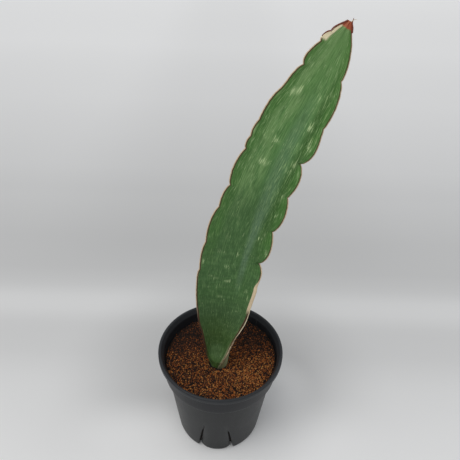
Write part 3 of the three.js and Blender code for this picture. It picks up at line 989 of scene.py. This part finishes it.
def lay_greens(finish, at):
    """The greens from foot to tip, a dark valley, a lighter band of painted sky reflection and a
    painted sheen between.
    """
    step, lay, side, height = finish.step, finish.lay, at.side, at.height
    finish.skin = finish.ramp((height - 85) / 280, [
        (0.00, tone(0x78A055)), (0.035, tone(0x557540)), (0.07, tone(0x44602F)),
        (0.14, tone(0x46622F)), (0.22, tone(0x38592B)), (0.30, tone(0x406A31)),
        (0.37, tone(0x446D37)), (0.55, tone(0x446B37)), (0.72, tone(0x5A8A48)),
        (0.95, tone(0x679150)),
    ])
    outer = step(abs(side), 0.48, 0.78) * step(height, 175, 225)
    lay(outer * 0.75, tone(0x43752A))
    valley = step(abs(side - 0.60 - at.clouds * 0.08), 0.22, 0.04) * step(height, 345, 310)
    lay(valley * step(height, 190, 230) * 0.6, tone(0x33591F))
    # A lighter band left of the middle: painted reflection of the sky on the part of the face that
    # turns up.
    lighter = step(abs(side + 0.40), 0.46, 0.16) * step(height, 225, 270)
    lay(lighter * step(at.clouds, 0.34, 0.58) * 0.7, tone(0x7DA263))
    # A painted sheen: a grey-blue band along the channel, laid in colour for the face's glossy
    # reflection of the bright surroundings.
    width = 0.09 + 0.12 * step(height, 200, 270)
    middle = 0.36 - 0.12 * step(height, 225, 290)
    painted_sheen = step(abs(side - middle) / width, 1.7, 0.2)
    painted_sheen = painted_sheen * step(height, 160, 200) * step(height, 335, 290) * at.front
    lay(painted_sheen * (0.42 + step(height, 250, 225) * 0.14), tone(0x6C896E))


def lay_markings(finish, at):
    """Cross bands low down, streaks along the leaf, blotches, flecks and dashes."""
    step, lay, height = finish.step, finish.lay, at.height
    low = step(height, 235, 195)
    lay(step(at.bands, 0.58, 0.42) * low * 0.26, tone(0x294820))
    lay(step(at.bands, 0.52, 0.66) * low * 0.09, tone(0x7C9C6C))
    lay(step(at.streaks, 0.54, 0.36) * 0.38, tone(0x2C531C))
    calm = step(height, 275, 315) * 0.12
    lay(step(at.streaks, 0.52, 0.70) * (0.32 - calm), tone(0x7DA264))
    lay(step(at.threads, 0.52, 0.70) * 0.26, tone(0x8AAC70))
    mottle = (finish.sum("MAXIMUM", at.marks, at.fine) - 0.5) * 1.8
    spots = step(mottle + at.pale * 0.42, 0.31, 0.53)
    lay(spots * 0.88, tone(0xC8E0A4))
    lay(step(at.pale, 0.15, 1.0) * (0.10 + at.streaks * 0.45), tone(0xA8C488))
    flecks = step(at.fine, 0.56, 0.72) * (0.4 + step(height, 190, 240) * 0.6)
    lay(flecks * step(abs(at.side), 0.05, 0.45) * 0.50, tone(0xA2C47C))
    dashes = step(at.marks, 0.53, 0.68) * step(height, 200, 290)
    lay(dashes * step(abs(at.side), 0.0, 0.3) * 0.45, tone(0xB0D090))
    return spots


def lay_foot(finish, at):
    """The rolled foot: fresh green at the soil, a pale husk behind and a pale fold in front."""
    step, lay, side, height = finish.step, finish.lay, at.side, at.height
    flush = step(height, 97, 88) * at.front * step(abs(side), 0.8, 0.3)
    lay(flush * 0.6, tone(0x5A8A38))
    husk = at.back * step(side, 0.10, 0.40) * step(height, 134, 104)
    lay(husk * 0.8, tone(0xB2BE93))
    lay(husk * step(at.clouds + at.streaks, 1.0, 1.3), tone(0xAD9C74))
    fold = step(side, 0.74, 0.92) * step(height, 124, 108) * at.front
    lay(fold * 0.8, tone(0xA6B287))


def lay_margins(finish, at):
    """The margins' brown line, the cream edge beside it, and brown scars low on the right."""
    step, lay, height, inside, right = finish.step, finish.lay, at.height, at.inside, at.right
    wander = (finish.noise(finish.vector(at.side, height * 0.7, 0), 1, 3) - 0.5) * 0.5
    line = step(inside + wander, 0.95, 0.45)
    lay(line * step(height, 95, 112) * 0.9, tone(0x4E2A1C))
    low_right = right * step(height, 142, 152) * step(height, 187, 176)
    start = low_right * 2.1 + right * 0.20 + 0.02
    cream = step(inside + wander * 0.6 - start, 0.0, -0.35)
    loose = step(height, 118, 128) * step(height, 159, 151)
    bare = right * (1 - loose) * step(height, 88, 108)
    bare = bare + (1 - right) * step(height, 140, 165)
    lay(cream * bare, tone(0xDCC6A4))
    scars = right * step(height, 130, 118) * step(inside, 3.2, 0.6) * step(at.threads, 0.46, 0.56)
    lay(scars * 0.7, tone(0x5C3B20))
    return line


def lay_tip(finish, at):
    """The tip: faded along its left edge, and withered brown at its end."""
    step, lay = finish.step, finish.lay
    torn = (at.clouds - 0.5) * 3 + (at.threads - 0.5) * 3
    faded = step(at.side + torn * 0.03, -0.64, -0.80)
    lay(faded * step(at.height + torn * 0.5, 346.6, 348.6), tone(0xFFF0C8))
    withered = finish.blend(step(at.fine, 0.42, 0.62), tone(0xA5452C), tone(0xC47A55))
    lay(step(at.height + torn * 0.4, 357.7, 358.6), withered)


def leaf_finish():
    """The leaf's skin: darker and plainer low down, with a painted sheen and streaks higher up."""
    finish = Finish("leaf_skin")
    at = leaf_fields(finish)
    lay_greens(finish, at)
    spots = lay_markings(finish, at)
    lay_foot(finish, at)
    line = lay_margins(finish, at)
    lay_tip(finish, at)
    rough = 0.46 + at.streaks * 0.14 + spots * 0.08 + line * 0.2
    relief = at.streaks * 0.5 + at.threads * 0.25 + at.clouds * 1.5
    return finish.finished(
        Roughness=rough, Normal=finish.bump(relief, 0.00025), Coat_Weight=0.04,
        Coat_Roughness=0.35, Specular_IOR_Level=0.35,
    )


def plain_finish(name, low, high, scale, roughness, relief):
    """A finish whose colour wanders between two tones, with a fine grain."""
    finish = Finish(name)
    spot = finish.spot()
    finish.skin = finish.blend(finish.noise(spot, scale, 4, 0.6), tone(low), tone(high))
    height = finish.noise(spot, scale * 3, 3)
    return finish.finished(Roughness=roughness, Normal=finish.bump(height, relief))


def pot_finish():
    """Dark moulded plastic: cloudy, with lines of flow, scuffs and specks of dirt at its foot, and
    a painted highlight over its lip.
    """
    finish = Finish("pot_plastic")
    step, lay, spot = finish.step, finish.lay, finish.spot()
    x, y, z = finish.parts(spot)
    grain = finish.noise(spot, 2200, 2)
    clouds = finish.noise(spot, 45, 4, 0.6)
    flow = finish.noise(finish.vector(x * 260, y * 260, z * 24), 1, 3)
    scuffs = step(finish.noise(finish.vector(x * 500, y * 500, z * 90), 1, 4, 0.7), 0.60, 0.74)
    specks = step(finish.noise(spot, 900, 2), 0.70, 0.76)
    finish.skin = finish.blend(clouds, tone(0x1C1D1E), tone(0x252728))
    lay(step(z, COLLAR_FOOT * MM, (COLLAR_FOOT + 1) * MM) * 0.85, tone(0x1F2024))
    # Painted highlight: the lip is laid in a lighter grey for the light that its rounded top
    # catches.
    lay(step(z, (LIP_FOOT - 0.5) * MM, (LIP_FOOT + 0.5) * MM) * 0.85, tone(0x36383B))
    lay(flow * 0.12, tone(0x424445))
    lay(scuffs * 0.20, tone(0x6C6B68))
    lay((step(z, 0.022, 0.004) * 0.5 + 0.12) * specks, tone(0x8A7A66))
    rough = 0.31 + clouds * 0.12 + scuffs * 0.12
    relief = finish.bump(grain * 0.6 + flow * 0.9, 0.00008)
    return finish.finished(Roughness=rough, Normal=relief, Specular_IOR_Level=0.15)


def grain_finish(name, darker):
    """Soil grains, nearly black to pale tan by the shade that each one holds."""
    finish = Finish(name)
    shade = finish.number("shade") - darker
    pores = finish.noise(finish.spot(), 1500, 3, 0.6)
    finish.skin = finish.ramp(shade + (pores - 0.5) * 0.35, [
        (0.00, tone(0x080402)), (0.22, tone(0x1D0F07)), (0.42, tone(0x562C12)),
        (0.60, tone(0x8A4C1A)), (0.78, tone(0xAD5F24)), (0.92, tone(0xB87534)),
        (1.00, tone(0xC4985A)),
    ])
    return finish.finished(Roughness=0.92, Normal=finish.bump(pores, 0.0002))


def floor_finish():
    """A pale surface lit up far behind the pot by a painted glow, with a painted bright band nearer
    to it, painted shadow behind and beside the pot and painted light in front of it.
    """
    finish = Finish("floor_paper")
    step, lay = finish.step, finish.lay
    x, y = finish.parts(finish.spot())[:2]
    # The floor's tone away from the pot is painted light: a painted bright band across it, with
    # painted darker stretches before and after it.
    away = (y + 0.2) / 2.9
    finish.skin = finish.ramp(away, [
        (0.05, grey(0.90)), (0.08, grey(0.82)), (0.095, grey(0.73)), (0.108, grey(0.72)),
        (0.118, grey(0.81)), (0.124, grey(0.81)), (0.134, grey(0.70)), (0.145, grey(0.66)),
        (0.17, grey(0.67)), (0.21, grey(0.76)), (0.25, grey(0.80)),
    ])
    # A painted glow: the floor far behind the pot glows, standing in for a lit backdrop.
    glow = finish.ramp(away, [
        (0.22, grey(0.0)), (0.30, grey(0.09)), (0.38, grey(0.17)), (0.57, grey(0.29)),
        (0.95, grey(0.37)),
    ])

    def distance(from_x, from_y, narrowed=1.0):
        """How far a point of the floor lies from a spot, in metres."""
        wide, deep = x - from_x, y - from_y
        return finish.sum("SQRT", wide * wide * narrowed + deep * deep)

    # Painted shadow behind and beside the pot.
    shade = step(distance(0, 0.055, 0.8), 0.17, 0.06) * step(y, -0.04, 0.03)
    lay(shade * 0.34, grey(0.30))
    # Painted shade on the middle of the floor far behind the pot.
    middle = step(abs(x), 0.34, 0.08) * step(y, 0.17, 0.28)
    lay(middle * 0.15, grey(0.30))
    # Painted light on the floor in front of the pot, less to the right.
    lit = step(distance(0, 0), 0.17, 0.07) * step(y, 0.02, -0.03)
    lay(lit * (0.9 - step(x, 0.0, 0.07) * 0.45), grey(1.0))
    # Painted light in a patch beside the pot on the right.
    lay(step(distance(0.055, 0.03), 0.055, 0.01) * 0.8, grey(0.95))
    return finish.finished(Roughness=0.7, Emission_Color=glow, Emission_Strength=1.0)


# The stage
def add_camera():
    yaw, pitch, roll = CAMERA_YAW * DEGREE, CAMERA_PITCH * DEGREE, CAMERA_ROLL * DEGREE
    flat = math.cos(pitch)
    ahead = Vector((math.sin(yaw) * flat, math.cos(yaw) * flat, -math.sin(pitch)))
    level = Vector((math.cos(yaw), -math.sin(yaw), 0))
    down = ahead.cross(level)
    right = level * math.cos(roll) + down * math.sin(roll)
    above = level * math.sin(roll) - down * math.cos(roll)
    turned = Matrix((right, above, -ahead)).transposed().to_4x4()
    camera = bpy.data.objects.new("camera", bpy.data.cameras.new("camera"))
    camera.data.lens = CAMERA_LENS
    camera.data.sensor_width = CAMERA_SENSOR
    camera.data.clip_start = CAMERA_NEAREST * MM
    camera.matrix_world = Matrix.Translation(Vector(CAMERA_SPOT) * MM) @ turned
    bpy.context.scene.collection.objects.link(camera)
    bpy.context.scene.camera = camera


def add_light(name, spot, width, power, colour):
    """A round soft light that looks at the plant."""
    light = bpy.data.objects.new(name, bpy.data.lights.new(name, "AREA"))
    light.data.shape = "DISK"
    light.data.size = width
    light.data.energy = power
    light.data.color = colour
    light.location = spot
    ahead = Vector(LIGHTS_TARGET) - Vector(spot)
    light.rotation_euler = ahead.to_track_quat("-Z", "Y").to_euler()
    bpy.context.scene.collection.objects.link(light)


def add_stage():
    mesh = bpy.data.meshes.new("floor")
    mesh.from_pydata(FLOOR_CORNERS, [], [(0, 1, 2, 3)])
    mesh.materials.append(floor_finish())
    floor = bpy.data.objects.new("floor", mesh)
    bpy.context.scene.collection.objects.link(floor)
    world = bpy.data.worlds.new("studio")
    world.use_nodes = True
    air = world.node_tree.nodes["Background"]
    air.inputs["Color"].default_value = AIR_COLOUR
    air.inputs["Strength"].default_value = AIR_STRENGTH
    bpy.context.scene.world = world
    for light in LIGHTS:
        add_light(*light)


bpy.context.scene.view_settings.view_transform = "Standard"
add_camera()
add_stage()
pot_piece(pot_finish())
leaf_piece(leaf_finish())
dried = plain_finish("leaf_dried", 0x4A1A10, 0x93422A, 700, 0.7, 0.0001)
cream = plain_finish("leaf_cream", 0xC9B48A, 0xEFE3C6, 500, 0.6, 0.0001)
loose_margin_piece(cream)
dry_tip_pieces(dried, cream)
soil_body(plain_finish("soil_dark", 0x0C0604, 0x26160C, 400, 0.95, 0.0006))
dust = grain_finish("soil_dust", 0.16)
soil_grains(grain_finish("soil_grains", 0.0), dust)
pot_crumbs(dust)
straw = plain_finish("soil_fibre", 0x6E4A2A, 0x9A7248, 900, 0.9, 0.0001)
strand_piece("soil_fibre", soften(FIBRE), taper(FIBRE_RADII), straw)
